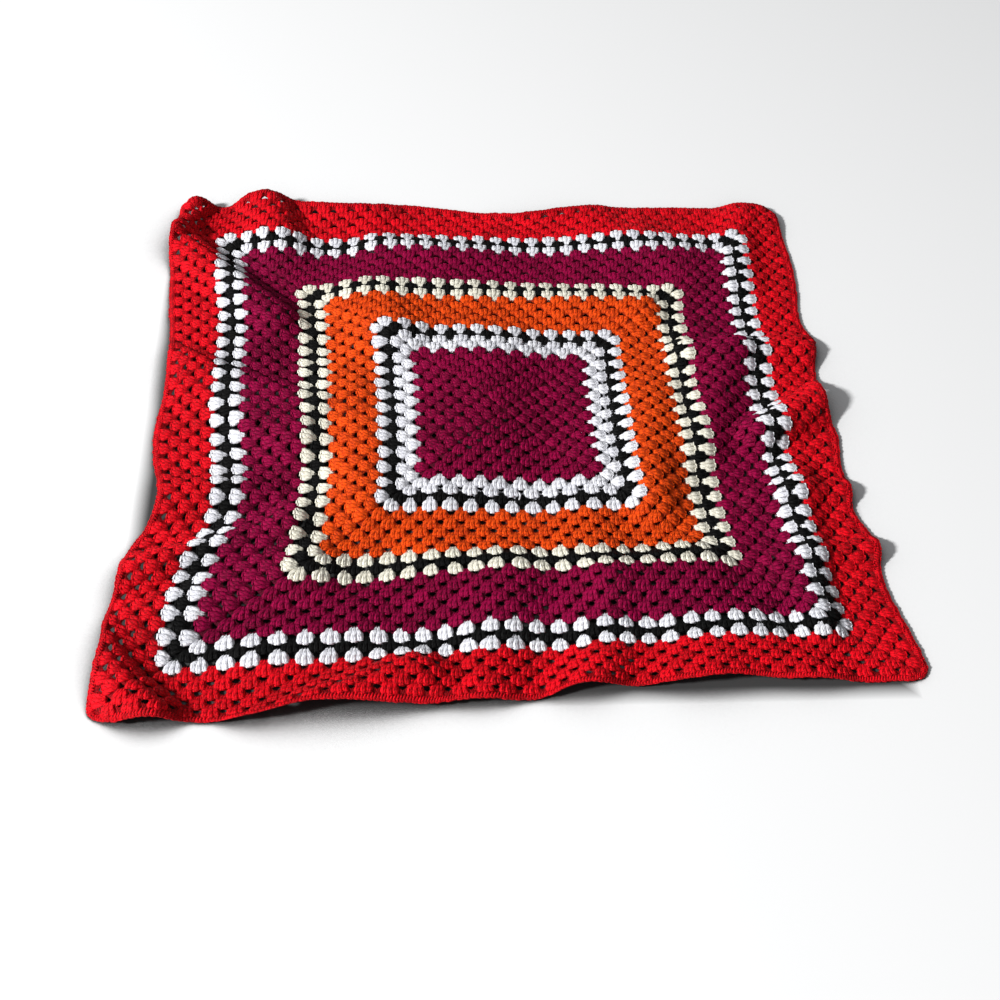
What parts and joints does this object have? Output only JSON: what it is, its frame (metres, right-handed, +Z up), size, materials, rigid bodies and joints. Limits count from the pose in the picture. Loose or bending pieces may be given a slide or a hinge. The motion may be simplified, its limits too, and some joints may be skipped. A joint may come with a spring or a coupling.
{
  "type": "granny square blanket",
  "caption": "Square crocheted blanket worked in rounds from its centre, with bands of plain and contrast yarn, laid out with soft folds.",
  "frame": {"origin": "on the surface it lies on, under the middle of the blanket's outline", "axes": "+Z up from the surface, +X to the right and +Y to the back as the square is laid"},
  "size_m": [0.9363, 0.9367, 0.0381],
  "materials": {
    "red_yarn": "matte crocheted acrylic yarn, bright red",
    "berry_yarn": "matte crocheted acrylic yarn, dark berry",
    "orange_yarn": "matte crocheted acrylic yarn, orange",
    "white_yarn": "matte crocheted acrylic yarn, white",
    "cream_yarn": "matte crocheted acrylic yarn, cream",
    "black_yarn": "matte crocheted acrylic yarn, black"
  },
  "bodies": {
    "root": {"blanket": "red_yarn"}
  },
  "joints": []
}
